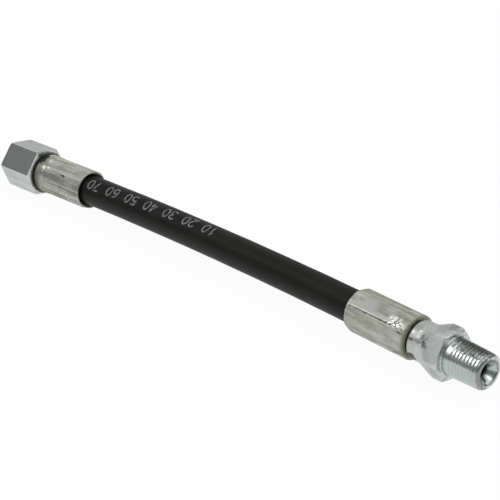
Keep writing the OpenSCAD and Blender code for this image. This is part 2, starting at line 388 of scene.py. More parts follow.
class Piece:
    """One piece of the object, with the body that it rides on and the finish that it wears."""

    def __init__(self, thing: bpy.types.Object) -> None:
        """Wraps a Blender object."""
        self.thing = thing

    @classmethod
    def from_faces(
        cls,
        name: str,
        points: np.ndarray,
        faces: Sequence[Sequence[int]],
        crease: float = CREASE_DEG,
    ) -> Piece:
        """Makes a mesh piece.

        Args:
            name: Name of the piece.
            points: Places of the mesh's points, one row each.
            faces: Indices of the points of each face.
            crease: Angle between faces above which an edge stays sharp, in degrees.

        Returns:
            The piece, with its double points merged and its faces looking outwards.
        """
        mesh = bpy.data.meshes.new(name)
        mesh.from_pydata(points.tolist(), [], [list(map(int, face)) for face in faces])
        work = bmesh.new()
        work.from_mesh(mesh)
        bmesh.ops.remove_doubles(work, verts=work.verts, dist=SAME_PLACE)
        bmesh.ops.dissolve_degenerate(work, edges=work.edges, dist=SAME_PLACE)
        bmesh.ops.recalc_face_normals(work, faces=work.faces)
        for face in work.faces:
            face.smooth = True
        for edge in work.edges:
            edge.smooth = edge.calc_face_angle(0) < math.radians(crease)
        work.to_mesh(mesh)
        work.free()
        thing = bpy.data.objects.new(name, mesh)
        bpy.context.scene.collection.objects.link(thing)
        return cls(thing)

    def finish(self, body: Body, slot: Slot, material: bpy.types.Material, *nodes: str) -> Piece:
        """Dresses the piece, seats it on its body and reports it.

        Args:
            body: Body that it rides on.
            slot: Material slot of the record that it takes its finish from; not used.
            material: What it is made of.
            nodes: Construction nodes that it stands for.

        Returns:
            The piece itself.
        """
        self.thing.data.materials.clear()
        self.thing.data.materials.append(material)
        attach(self.thing, body.value)
        if nodes:
            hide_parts(*nodes)
        LOG.info("%s: %d faces, on %s", self.thing.name, len(self.thing.data.polygons), body.value)
        return self


# ---------------------------------------------------------------- shader maths


EVEN = (1.0, 1.0, 1.0)


class Value:
    """A number that varies over a surface, so that shader maths reads as Python."""

    def __init__(self, graph: Graph, socket: bpy.types.NodeSocket) -> None:
        """Wraps an output socket of a graph's node."""
        self.graph = graph
        self.socket = socket

    def __add__(self, other: Operand) -> Value:
        """Adds."""
        return self.graph.maths("ADD", self, other)

    __radd__ = __add__

    def __mul__(self, other: Operand) -> Value:
        """Multiplies."""
        return self.graph.maths("MULTIPLY", self, other)

    __rmul__ = __mul__

    def __sub__(self, other: Operand) -> Value:
        """Subtracts."""
        return self.graph.maths("SUBTRACT", self, other)

    def __rsub__(self, other: Operand) -> Value:
        """Subtracts this value from another."""
        return self.graph.maths("SUBTRACT", other, self)

    def between(self, low: float, high: float) -> Value:
        """Gives 0 at a low value, 1 at a high one and a smooth step between them.

        Args:
            low: The low value.
            high: The high value.

        Returns:
            The step.
        """
        settings = {"interpolation_type": "SMOOTHSTEP"}
        inputs = {"Value": self, "From Min": low, "From Max": high}
        return Value(self.graph, self.graph.add("ShaderNodeMapRange", settings, inputs).outputs[0])


Operand = Value | float


class Graph:
    """Nodes of one material, added by one method and read as values."""

    def __init__(self, name: str, turn: float = 0.0) -> None:
        """Makes a material with an empty node tree.

        Args:
            name: Name of the material.
            turn: Angle of its piece's axis from X, in radians.
        """
        self.turn = turn
        self.material = bpy.data.materials.new(name)
        self.material.use_nodes = True
        self.tree = self.material.node_tree
        self.tree.nodes.clear()

    def add(
        self, kind: str, settings: dict[str, Any] | None = None, inputs: dict[Any, Any] | None = None
    ) -> bpy.types.Node:
        """Adds a node.

        Args:
            kind: Its type.
            settings: Its own settings, such as an operation.
            inputs: What goes into its sockets: a value, another socket or a plain number.

        Returns:
            The node.
        """
        node = self.tree.nodes.new(kind)
        for key, setting in (settings or {}).items():
            setattr(node, key, setting)
        for key, given in (inputs or {}).items():
            given = given.socket if isinstance(given, Value) else given
            if isinstance(given, bpy.types.NodeSocket):
                self.tree.links.new(given, node.inputs[key])
            else:
                node.inputs[key].default_value = given
        return node

    def maths(self, operation: str, *values: Operand) -> Value:
        """Adds a Math node."""
        inputs = dict(enumerate(values))
        return Value(self, self.add("ShaderNodeMath", {"operation": operation}, inputs).outputs[0])

    def blend(self, share: Operand, first: Any, second: Any) -> bpy.types.NodeSocket:
        """Mixes two colours.

        Args:
            share: How much of the second colour.
            first: Colour or socket.
            second: Colour or socket.

        Returns:
            The mixed colour's socket.
        """
        first, second = (
            (*colour, 1.0) if isinstance(colour, tuple) and len(colour) == 3 else colour
            for colour in (first, second)
        )
        node = self.add("ShaderNodeMix", {"data_type": "RGBA"}, {0: share, 6: first, 7: second})
        return node.outputs[2]

    def turned(self, place: Sequence[float]) -> Vector:
        """Gives a place on the piece with the piece's axis turned along X."""
        return Matrix.Rotation(self.turn, 3, "Z") @ Vector(place)

    def place(self, stretch: Sequence[float] = EVEN) -> bpy.types.NodeSocket:
        """Gives the place on the piece, turned like the piece's axis and stretched.

        Args:
            stretch: How much the place is scaled along, and twice across, that axis.

        Returns:
            The place's socket.
        """
        where = self.add("ShaderNodeTexCoord").outputs["Object"]
        turned = self.add("ShaderNodeMapping", None, {0: where, "Rotation": (0, 0, self.turn)})
        stretched = {0: turned.outputs[0], "Scale": tuple(stretch)}
        return self.add("ShaderNodeMapping", None, stretched).outputs[0]

    def axes(self) -> list[Value]:
        """Gives the place on the piece as three distances, the first along the piece's axis."""
        split = self.add("ShaderNodeSeparateXYZ", None, {0: self.place()})
        return [Value(self, socket) for socket in split.outputs]

    def noise(
        self, where: bpy.types.NodeSocket, scale: float, detail: float = 2, rough: float = 0.5
    ) -> Value:
        """Gives soft noise.

        Args:
            where: Place that it is read at.
            scale: Blotches in a metre.
            detail: Finer octaves that are added.
            rough: How strong they are.

        Returns:
            A value about 0.5.
        """
        inputs = {"Vector": where, "Scale": scale, "Detail": detail, "Roughness": rough}
        return Value(self, self.add("ShaderNodeTexNoise", None, inputs).outputs[0])

    def bump(self, height: Value, depth: float) -> bpy.types.NodeSocket:
        """Turns a height from 0 to 1 into a normal, for a relief of that depth in metres."""
        inputs = {"Strength": 1.0, "Distance": depth, "Height": height}
        return self.add("ShaderNodeBump", None, inputs).outputs[0]

    def surface(self, inputs: dict[str, Any]) -> bpy.types.Material:
        """Adds the shader and the output.

        Args:
            inputs: What goes into the shader's sockets.

        Returns:
            The finished material.
        """
        shader = self.add("ShaderNodeBsdfPrincipled", None, inputs)
        self.add("ShaderNodeOutputMaterial", None, {"Surface": shader.outputs[0]})
        return self.material


# ---------------------------------------------------------------- finishes


@dataclass(frozen=True)
class Zone:
    """Band round a piece where the plating looks otherwise, with its sizes in millimetres. Some bands
    hold painted shade and highlights.

    Its look is full within the near distance of its station, and has gone at the far one. Rough
    is added to the roughness there, and dull is taken off the metallic share.
    """

    station: float
    near: float
    far: float
    colour: Colour
    share: float
    rough: float = 0.0
    dull: float = 0.0

    def mask(self, graph: Graph, line: HoseLine, ragged: Value) -> Value:
        """Gives how much of the band's look a place has.

        Args:
            graph: Graph of the material.
            line: Line that the band's station is measured on.
            ragged: Value about 0.5 that makes the band's borders uneven.

        Returns:
            Its share at the middle of the band, and 0 outside it.
        """
        near, far = self.near * MM, self.far * MM
        middle = graph.turned(line.point(self.station * MM, 0, 0))
        off = graph.maths("ABSOLUTE", graph.axes()[0] - middle.x)
        border = off + (ragged - 0.5) * (2 * (far - near))
        return (1 - border.between(near, far)) * self.share


@dataclass(frozen=True)
class Spot:
    """Oval mark on a piece, lengthwise along its axis, with its sizes in millimetres. Many marks hold
    painted shade, shadows, highlights and reflections.

    The length and width are half those of the whole mark. Its look is full out to the near share
    of them, and has gone at the far one. Rough and dull work as a zone's do.
    """

    station: float
    radius: float
    height_deg: float
    length: float
    width: float
    colour: Colour
    share: float
    rough: float = 0.0
    dull: float = 0.0
    near: float = 0.5
    far: float = 1.1

    def mask(self, graph: Graph, line: HoseLine, ragged: Value) -> Value:
        """Gives how much of the mark a place has.

        Args:
            graph: Graph of the material.
            line: Line that the mark's place is measured from.
            ragged: Value about 0.5 that makes the mark's border uneven.

        Returns:
            Its share at the mark's middle, and 0 outside it.
        """
        place = line.point(self.station * MM, self.radius * MM, math.radians(self.height_deg))
        stretch = Vector((1 / self.length, 1 / self.width, 1 / self.width)) / MM
        inputs = {0: graph.place(stretch), 1: graph.turned(place) * stretch}
        off = graph.add("ShaderNodeVectorMath", {"operation": "DISTANCE"}, inputs).outputs["Value"]
        border = Value(graph, off) + (ragged - 0.5) * (3 * (self.far - self.near))
        return (1 - border.between(self.near, self.far)) * self.share


Mark = Zone | Spot


@dataclass(frozen=True)
class Zinc:
    """Zinc plating on steel, over the marks that making the piece left."""

    name: str
    light: Colour
    dark: Colour
    roughness: float
    spread: float = 0.1
    ring_depth: float = 4e-6
    streak_depth: float = 4e-6
    grain_depth: float = 3e-6
    broad: float = 0.0
    metallic: float = 1.0
    contrast: float = 0.2

    def material(
        self, line: HoseLine, end: End, marks: dict[str, Mark] | None = None
    ) -> bpy.types.Material:
        """Makes the material.

        Args:
            line: Line of the hose that the piece belongs to.
            end: End of the hose that the piece is at.
            marks: Places on the piece with a look of their own, by what they are, many of them painted
                shade, shadows, highlights and reflections.

        Returns:
            The material.
        """
        graph = Graph(self.name, line.axis_angle(end))
        even = graph.place()
        rings = graph.noise(graph.place((1, 0.02, 0.02)), scale=2600, detail=3, rough=0.6)
        streaks = graph.noise(graph.place((0.04, 1, 1)), scale=1500, detail=4, rough=0.6)
        bands = graph.noise(graph.place((0.06, 1, 1)), scale=420, detail=3, rough=0.6)
        cloud = graph.noise(even, scale=160, detail=3, rough=0.6)
        grain = graph.noise(even, scale=3500)
        flecks = graph.noise(even, scale=1100, detail=3, rough=0.6)
        fine = cloud * 0.4 + streaks * 0.4 + flecks * 0.2
        mixed = fine * (1 - self.broad) + bands * self.broad
        shade = mixed.between(0.5 - self.contrast, 0.5 + self.contrast)
        colour = graph.blend(shade, self.dark, self.light)
        rough = (1 - shade) * self.spread + self.roughness
        metal: Operand = self.metallic
        for mark in (marks or {}).values():
            mask = mark.mask(graph, line, flecks)
            colour = graph.blend(mask, colour, mark.colour)
            rough = rough + mask * mark.rough
            metal = mask * -mark.dull + metal if mark.dull else metal
        relief = rings * self.ring_depth + streaks * self.streak_depth + grain * self.grain_depth
        whole = self.ring_depth + self.streak_depth + self.grain_depth
        return graph.surface(
            {
                "Base Color": colour,
                "Metallic": metal,
                "Roughness": rough,
                "Normal": graph.bump(relief * (1 / whole), whole),
            }
        )


@dataclass(frozen=True)
class Rubber:
    """Smooth moulded rubber with faint lengthwise marks and a little dust."""

    name: str
    body: Colour
    dust: Colour
    roughness: float
    specular: float = 0.2
    grain_depth: float = 12e-6

    def material(self) -> bpy.types.Material:
        """Makes the material.

        Returns:
            The material.
        """
        graph = Graph(self.name)
        even = graph.place()
        marks = graph.noise(graph.place((0.06, 1, 1)), scale=900, detail=3, rough=0.6)
        cloud = graph.noise(even, scale=90, detail=3)
        grain = graph.noise(even, scale=2600, detail=3, rough=0.6)
        specks = graph.noise(even, scale=1400).between(0.68, 0.8)
        shade = specks * 0.35 + cloud.between(0.4, 0.75) * 0.25
        return graph.surface(
            {
                "Base Color": graph.blend(shade, self.body, self.dust),
                "Roughness": marks * 0.16 + cloud * 0.1 + self.roughness,
                "Specular IOR Level": self.specular,
                "Normal": graph.bump(marks * 0.5 + grain * 0.5, self.grain_depth),
            }
        )


@dataclass(frozen=True)
class Braid:
    """Fine wires woven over and under each other at a slant, in bands of several side by side."""

    name: str
    wire: Colour
    gap: Colour
    band: float = 2.2 * MM
    wires: int = 5
    depth: float = 0.15 * MM
    middle_r: float = 5.0 * MM

    def material(self) -> bpy.types.Material:
        """Makes the material.

        Returns:
            The material.
        """
        graph = Graph(self.name)
        along, across, up = graph.axes()
        around = graph.maths("ARCTAN2", up, across) * self.middle_r
        lay = 2 * math.pi / self.band
        left = graph.maths("SINE", (along + around) * lay)
        right = graph.maths("SINE", (along - around) * lay)
        weave = (left * right * 0.5 + 0.5).between(0.2, 0.9)
        wires = graph.maths("ABSOLUTE", graph.maths("SINE", (along + around) * (lay * self.wires)))
        return graph.surface(
            {
                "Base Color": graph.blend(weave, self.gap, self.wire),
                "Metallic": 1.0,
                "Roughness": wires * 0.2 + 0.3,
                "Normal": graph.bump(weave * 0.7 + wires * 0.3, self.depth),
            }
        )


@dataclass(frozen=True)
class Ink:
    """Light print that has worn a little on the rubber."""

    name: str
    fresh: Colour
    worn: Colour
    grain_depth: float = 8e-6

    def material(self) -> bpy.types.Material:
        """Makes the material.

        Returns:
            The material.
        """
        graph = Graph(self.name)
        even = graph.place()
        wear = graph.noise(even, scale=900, detail=4, rough=0.7).between(0.4, 0.65)
        return graph.surface(
            {
                "Base Color": graph.blend(wear, self.fresh, self.worn),
                "Roughness": wear * 0.2 + 0.55,
                "Normal": graph.bump(graph.noise(even, scale=3000), self.grain_depth),
            }
        )


NUT_ZINC = Zinc("bright_zinc", (0.55, 0.57, 0.56), (0.38, 0.40, 0.39), 0.17, broad=0.3, contrast=0.15)
STEM_ZINC = Zinc("stem_zinc", (0.66, 0.69, 0.68), (0.48, 0.51, 0.50), 0.2, contrast=0.14)
FERRULE_ZINC = Zinc(
    "ferrule_zinc",
    (0.63, 0.63, 0.575),
    (0.25, 0.26, 0.21),
    0.42,
    spread=0.16,
    streak_depth=12e-6,
    ring_depth=1e-6,
    broad=0.45,
    metallic=0.4,
    contrast=0.12,
)
SPRING_WIRE = Zinc("spring_wire", (0.55, 0.55, 0.54), (0.38, 0.38, 0.38), 0.3)
COVER_RUBBER = Rubber("cover_rubber", (0.006, 0.0062, 0.0046), (0.024, 0.024, 0.021), 0.38)
TUBE_RUBBER = Rubber("tube_rubber", (0.02, 0.02, 0.02), (0.05, 0.05, 0.05), 0.42)
BRAID_WIRE = Braid("braid_wire", (0.62, 0.50, 0.26), (0.10, 0.08, 0.05))
PRINT_INK = Ink("print_ink", (0.25, 0.24, 0.27), (0.06, 0.06, 0.065))

SWIVEL_FERRULE_DENTS = (
    Dent(37.5, 41, length=1.7, width=0.3, depth=0.25),
    Dent(26.2, 41, length=1.0, width=0.6, depth=0.16),
    Dent(31.0, 42, length=1.8, width=0.5, depth=0.10),
)
PIPE_FERRULE_DENTS = tuple(
    Dent(station, height_deg, length=0.55, width=0.5, depth=depth)
    for station, height_deg, depth in (
        (224.6, 40, 0.14), (225.8, 52, 0.16), (226.6, 37, 0.16), (227.6, 46, 0.22),
        (228.2, 57, 0.16), (229.0, 39, 0.2), (229.5, 50, 0.24), (230.6, 59, 0.14),
        (230.9, 43, 0.2), (232.2, 36, 0.16),
    )
)

# A spot's numbers are its station, radius, height angle, length and width, then its colour and
# share. A zone's are its station, near and far distance, then its colour and share.
NUT_MARKS: dict[str, Mark] = {
    # Painted highlight: a pale, matt band stands in for the light caught along the nut's back edge.
    "painted highlight on the back edge": Zone(18.8, 0.3, 0.45, (0.86, 0.87, 0.86), 0.7, rough=0.3, dull=0.8),
    # Painted shade on the top of the nut's back face, which is also made rougher and duller.
    "painted shade on top of the back": Spot(
        18.7, 9.7, 84, 1.1, 4.2, (0.25, 0.28, 0.23), 0.9, rough=0.3, dull=0.5
    ),
    # A rougher, duller countersink whose dark colour is painted shade inside the recess.
    "duller countersink with painted shade": Spot(
        19.0, 0.0, 0, 3.0, 9.3, (0.21, 0.22, 0.18), 0.9, rough=0.25, dull=0.4, near=0.97, far=1.01
    ),
    # Painted shadow on the nut's back face, by the corner.
    "painted shadow in the corner": Spot(19.0, 9.1, 73, 0.8, 1.7, (0.07, 0.08, 0.065), 0.9, rough=0.3),
}
SWIVEL_FERRULE_MARKS: dict[str, Mark] = {
    # A greener tone at the ferrule's end, darkened further by painted shade where the nut shadows it.
    "darker greenish end": Zone(20.2, 1.6, 6.0, (0.25, 0.27, 0.19), 0.85),
    # Painted shadow where the nut shades the front of the ferrule's end.
    "painted shadow on the front of the end": Spot(21.2, 8.2, -6, 2.2, 5.4, (0.06, 0.065, 0.045), 0.6),
    # Painted dark reflection along one flat of the ferrule.
    "painted dark reflection on a flat": Spot(30.5, 8.2, 26, 13.0, 1.9, (0.20, 0.20, 0.175), 0.75),
    # Painted shade in the gap between the nut's back and the top of the ferrule's end.
    "painted shade on top of the end": Spot(
        21.2, 8.0, 72, 2.0, 3.6, (0.02, 0.025, 0.018), 0.97, near=0.7, far=1.0
    ),
    # Painted highlight on the top of the ferrule's end.
    "painted highlight on the rim": Spot(21.4, 8.2, 108, 1.3, 2.4, (0.80, 0.81, 0.70), 0.7),
    # Painted shade on the ferrule's underside.
    "painted shade on the underside": Spot(31.0, 8.2, -52, 15.0, 6.0, (0.22, 0.22, 0.18), 0.7),
    "blue line": Spot(32.5, 8.2, 43.5, 4.5, 0.5, (0.28, 0.27, 0.32), 0.6),
    "large glint": Spot(24.8, 8.2, 45, 0.9, 0.8, (1.0, 1.0, 0.97), 1.0, dull=0.4, near=0.8),
    "small glint": Spot(27.3, 8.2, 48, 0.8, 0.6, (1.0, 1.0, 0.97), 1.0, dull=0.4, near=0.8),
    # Painted shade at the bottom of the pressed notch.
    "painted shade in the notch": Spot(37.5, 8.2, 41, 1.9, 0.5, (0.02, 0.02, 0.02), 0.95),
}
PIPE_FERRULE_MARKS: dict[str, Mark] = {
    "green tint on the low flat": Spot(215.5, 8.2, 17, 4.5, 2.6, (0.42, 0.45, 0.33), 0.4),
    "green tint on top": Spot(213.5, 8.2, 91, 4.0, 2.2, (0.44, 0.47, 0.35), 0.45),
    "blue tint on the high flat": Spot(215.0, 8.2, 62, 4.5, 2.6, (0.48, 0.48, 0.53), 0.4),
    "worn streak": Spot(216.0, 8.2, 45, 15.0, 1.4, (0.38, 0.38, 0.34), 0.6, dull=0.25),
    "bare metal in the dents": Spot(
        228.0, 8.2, 48, 4.0, 2.8, (0.8, 0.8, 0.75), 0.85, rough=-0.26, dull=-0.5
    ),
    # Painted shade along the crease beside a die land.
    "painted shade in the crease": Spot(218.5, 8.2, 36.5, 17.5, 0.44, (0.04, 0.04, 0.04), 0.9),
    # Painted highlight along the edge of the crease.
    "painted highlight beside the crease": Spot(214.0, 8.2, 40, 11.0, 0.35, (0.86, 0.86, 0.80), 0.55),
    # Painted shade where the crease ends.
    "painted shade where the crease stops": Spot(231.9, 8.2, 29, 2.2, 0.45, (0.04, 0.04, 0.04), 0.85),
    # A darker, greener band at the ferrule's fitting end.
    "darker greenish end": Zone(234.2, 0.3, 1.3, (0.31, 0.33, 0.24), 0.85),
    # Painted shade in the top of the ferrule's recess, over the neck.
    "painted shade in the recess over the neck": Spot(
        234.2, 3.5, 78, 1.2, 3.9, (0.03, 0.035, 0.025), 0.9, near=0.9, far=1.05
    ),
}
STEM_MARKS: dict[str, Mark] = {
    "matt neck": Zone(237.05, 2.0, 2.6, (0.60, 0.61, 0.57), 0.75, rough=0.28, dull=0.5),
    "matt hexagon": Zone(245.15, 5.6, 6.3, (0.70, 0.72, 0.715), 0.6, rough=0.3, dull=0.9),
    "mottled hexagon": Zone(245.15, -2.0, 8.0, (0.42, 0.41, 0.42), 0.3),
    "oiled thread": Zone(258.95, 7.0, 8.0, (0.43, 0.48, 0.46), 0.85),
    # Painted dark reflection on the underside of the neck.
    "painted shade on the underside of the neck": Spot(237.4, 7.4, -27, 3.0, 2.3, (0.04, 0.04, 0.035), 0.95),
    "short dark streak on the neck": Spot(236.6, 7.4, 27, 1.6, 0.6, (0.10, 0.10, 0.09), 0.85),
    "grey top of the neck": Spot(237.6, 7.4, 64, 1.9, 2.6, (0.38, 0.38, 0.36), 0.65),
    "long grey streak on the neck": Spot(240.5, 7.7, 30, 4.6, 0.8, (0.20, 0.20, 0.20), 0.6),
    "glint by the ferrule": Spot(236.2, 7.4, 48, 0.8, 0.6, (0.90, 0.90, 0.84), 0.8, rough=-0.2),
    "high glint on the neck": Spot(239.2, 7.5, 57, 0.8, 0.7, (0.98, 0.98, 0.98), 0.95, dull=0.5),
    "low glint on the neck": Spot(239.4, 7.5, 41, 0.8, 0.7, (0.98, 0.98, 0.98), 0.95, dull=0.5),
    "grey top of the flare": Spot(244.0, 8.6, 88, 6.5, 5.0, (0.46, 0.46, 0.46), 0.7),
    "scuff behind the hexagon": Spot(248.0, 9.0, 108, 2.4, 3.0, (0.28, 0.26, 0.27), 0.7),
    "grey underside of the hexagon": Spot(248.5, 9.0, -32, 2.4, 4.0, (0.38, 0.38, 0.36), 0.7),
    "grey chamfer": Spot(251.1, 9.3, 106, 0.9, 2.0, (0.36, 0.36, 0.36), 0.65),
    "grey corner": Spot(246.0, 9.2, 12, 2.2, 2.4, (0.52, 0.53, 0.53), 0.6),
    # Painted dark reflections in the hollow of the flare, in the next four marks.
    "painted reflection on the flare": Spot(241.6, 7.7, 46, 1.2, 1.3, (0.22, 0.21, 0.23), 0.75),
    "black painted reflection on the flare": Spot(243.3, 8.2, 32, 1.5, 1.5, (0.08, 0.08, 0.08), 0.85),
    "low painted reflection on the flare": Spot(244.6, 8.8, 26, 1.2, 1.0, (0.20, 0.20, 0.20), 0.7),
    "high painted reflection on the flare": Spot(243.9, 8.4, 44, 1.4, 1.0, (0.35, 0.34, 0.36), 0.6),
    # Painted dark reflection on the top of the thread.
    "painted dark reflection on top of the thread": Spot(259.5, 6.8, 92, 8.6, 5.0, (0.11, 0.12, 0.11), 0.85),
    # Painted highlight along the thread's lit crests.
    "painted highlight line on the thread": Spot(
        258.8, 6.9, 47, 7.8, 0.35, (0.88, 0.90, 0.88), 0.7, dull=0.5
    ),
    # Painted reflection that lightens the thread below its highlight, in the next two marks.
    "painted light band on the thread": Spot(258.5, 6.9, 33, 7.6, 0.8, (0.80, 0.83, 0.81), 0.6),
    "low painted light band on the thread": Spot(258.5, 6.9, 18, 7.6, 0.8, (0.62, 0.66, 0.64), 0.6),
    # Painted highlights on single crests of the thread, in the next four marks.
    "painted highlight on the first crest": Spot(252.7, 7.1, 61, 0.4, 1.3, (0.9, 0.92, 0.9), 0.95),
    "painted highlight on the second crest": Spot(254.5, 7.0, 61, 0.35, 1.4, (0.85, 0.88, 0.86), 0.9),
    "painted highlight on the third crest": Spot(256.0, 6.9, 61, 0.3, 1.2, (0.7, 0.73, 0.71), 0.8),
    "painted highlight on the last crest": Spot(265.1, 6.6, 64, 0.3, 1.4, (0.75, 0.78, 0.76), 0.8),
    # Painted shade inside the bore.
    "painted shade in the bore": Spot(257.0, 0.0, 0, 7.5, 2.6, (0.03, 0.03, 0.03), 0.95, near=0.9, far=1.1),
    "grey tip face": Spot(
        266.7, 5.3, 15, 0.6, 6.8, (0.23, 0.24, 0.23), 0.85, near=0.8, far=1.0
    ),
    "grey underside of the tip": Spot(266.0, 5.8, -60, 1.2, 3.0, (0.22, 0.23, 0.22), 0.75),
    "dark rim of the seat": Spot(
        266.7, 0.0, 0, 0.9, 4.95, (0.16, 0.17, 0.16), 0.7, near=0.95, far=1.03
    ),
    # Painted shade deep in the seat's cone.
    "painted shade at the foot of the seat": Spot(
        262.3, 0.0, 0, 2.4, 3.6, (0.04, 0.045, 0.04), 0.9, near=0.8, far=1.1
    ),
    # Painted shade inside the seat's cone, in the next two marks.
    "painted shade at the back of the seat": Spot(265.2, 4.0, 100, 1.4, 1.8, (0.05, 0.055, 0.05), 0.85),
    "painted shade at the front of the seat": Spot(264.8, 3.4, -84, 1.6, 1.3, (0.09, 0.10, 0.09), 0.85),
    "glint on the seat": Spot(265.2, 3.7, -126, 1.0, 1.0, (0.98, 0.98, 0.98), 1.0, near=0.6),
}


# ---------------------------------------------------------------- the pieces


def hexagon(across_flats: float, corner_deg: float, heights: np.ndarray) -> np.ndarray:
    """Gives a hexagon's radius.

    Args:
        across_flats: Its size.
        corner_deg: Height angle of one corner, in degrees.
        heights: Height angles at which the radius is wanted, in radians.

    Returns:
        The radius at each of them.
    """
    sector = math.pi / 3
    from_flat = (heights - math.radians(corner_deg)) % sector - sector / 2
    return across_flats / 2 / np.cos(from_flat)


def corner_radius(across_flats: float) -> float:
    """Gives the radius of a hexagon's corners."""
    return across_flats / 2 / math.cos(math.pi / 6)


def hexagon_angles(corner_deg: float) -> np.ndarray:
    """Gives height angles round a hexagon, packed closer at its corners."""
    return sector_angles(6, corner_deg, CORNER_OFFSETS_DEG, FACE_STEPS)


@dataclass(frozen=True)
class HoseTail:
    """Stretch of a stem inside its ferrule and the hose, the same at both ends."""

    recess: float = 1.5 * MM
    lip_end: float = 4.0 * MM
    stop_end: float = 5.2 * MM
    barb_start: float = 6.72 * MM
    barb_pitch: float = 3.996 * MM
    barb_count: int = 5
    barb_height: float = 0.22 * MM
    end: float = 27.7 * MM
    chamfer: float = 0.4 * MM
    collar_r: float = 5.8 * MM
    groove_r: float = 4.8 * MM
    tail_r: float = 3.25 * MM
    flow_r: float = 2.4 * MM

    def outline(self) -> list[tuple[float, float]]:
        """Gives the outline from the ferrule's fitting end into the hose.

        Returns:
            Distances from that end and radii.
        """
        points = [
            (self.recess, self.collar_r),
            (self.recess, self.groove_r),
            (self.lip_end, self.groove_r),
            (self.lip_end, self.collar_r),
            (self.stop_end, self.collar_r),
            (self.stop_end, self.tail_r),
        ]
        for barb in range(self.barb_count):
            start = self.barb_start + barb * self.barb_pitch
            points.append((start, self.tail_r))
            points.append((start, self.tail_r + self.barb_height))
            points.append((start + self.barb_pitch, self.tail_r))
        points.append((self.end - self.chamfer, self.tail_r))
        points.append((self.end, self.tail_r - self.chamfer))
        points.append((self.end, self.flow_r))
        return points


@dataclass(frozen=True)
class Crimp:
    """Space that a pressed ferrule leaves for the hose, measured from its fitting end."""

    hose_start: float = 5.22 * MM
    flare_start: float = 24.6 * MM
    flare_end: float = 26.6 * MM
    pressed_r: float = 6.0 * MM
    hose_r: float = HOSE_R
    braid_r: float = 4.9 * MM
    gap: float = 0.02 * MM
    bite_count: int = 4
    bite_height: float = 0.45 * MM
    bite_width: float = 1.2 * MM

    def grip(self, gap: float) -> list[tuple[float, float]]:
        """Gives the ferrule's bore with its bite ribs.

        Args:
            gap: How far it is drawn in, in radius.

        Returns:
            Distances from the fitting end and radii.
        """
        pitch = (self.flare_start - self.hose_start) / (self.bite_count + 1)
        tip = self.bite_width / 2
        foot = tip + self.bite_height
        high, low = self.pressed_r - gap, self.pressed_r - gap - self.bite_height
        rib = [(-foot, high), (-tip, low), (tip, low), (foot, high)]
        middles = [self.hose_start + pitch * (rib_index + 1) for rib_index in range(self.bite_count)]
        return [(middle + along, radius) for middle in middles for along, radius in rib]


@dataclass
class SwivelNut:
    """Hexagon nut with a straight thread in its mouth, a swivel bore and a countersunk back."""

    line: HoseLine
    across_flats: float = 19.05 * MM
    length: float = 19 * MM
    corner_deg: float = 8.5
    front_chamfer: float = 0.5 * MM
    back_chamfer: float = 1.35 * MM
    thread_r: float = 6.025 * MM
    thread_depth: float = 0.75 * MM
    lead_in: float = 1 * MM
    thread_length: float = 7 * MM
    bore_r: float = 6.86 * MM
    back_r: float = 8.6 * MM
    groove_at: float = 15.1 * MM
    groove_r: float = 0.8 * MM
    edge: float = 0.14 * MM
    chamfer_deg: float = 30
    chamfer_rows: int = 16
    run_out: float = 0.2 * MM
    face_steps: tuple[float, ...] = (0.9 * MM, 0.4 * MM, 0.15 * MM)
    rim: float = 0.2 * MM
    bore_round: float = 0.1 * MM

    def build(self) -> Piece:
        """Makes the nut.

        Returns:
            The piece, for the node swivel_nut.
        """
        heights = hexagon_angles(self.corner_deg)
        skin = Skin(self.line, heights)
        corner_r = corner_radius(self.across_flats)
        slope = math.tan(math.radians(self.chamfer_deg))
        root_r = self.thread_r + self.thread_depth
        skin.row(0, root_r + self.edge)
        for station, chamfer in ((0, self.front_chamfer), (self.length, self.back_chamfer)):
            side = 1 if station == 0 else -1
            rim_r = corner_r - chamfer
            rows = [(station, rim_r - step) for step in self.face_steps]
            rows += [
                (station + side * slope * rise, rim_r + rise)
                for rise in np.linspace(0, chamfer + self.run_out, self.chamfer_rows)
            ]
            for place, radius in rows if side > 0 else reversed(rows):
                skin.row(place, radius)
        skin.limit(hexagon(self.across_flats, self.corner_deg, heights), self.edge, 1)
        back = self.back_r - self.bore_r
        end = self.lead_in + self.thread_length
        skin.outline(
            [
                (self.length, self.back_r + self.rim),
                (self.length, self.back_r, self.bore_round),
                (self.length - back, self.bore_r, self.bore_round),
                *half_round(self.groove_at, self.bore_r, self.groove_r),
                (end + self.thread_depth, self.bore_r),
                (end, self.bore_r),
                (end, root_r),
            ]
        )
        cut = ThreadCut(
            crest=lambda station: root_r,
            depth=lambda station: np.minimum(self.thread_depth, station),
        )
        skin.thread(cut, end, 0.0)
        return skin.build("swivel_nut_forged")

    def dress(self) -> Piece:
        """Makes the nut, plates it and seats it on its own body.

        Returns:
            The piece.
        """
        plating = NUT_ZINC.material(self.line, End.SWIVEL, NUT_MARKS)
        return self.build().finish(Body.NUT, Slot.BRIGHT_ZINC, plating, "swivel_nut")


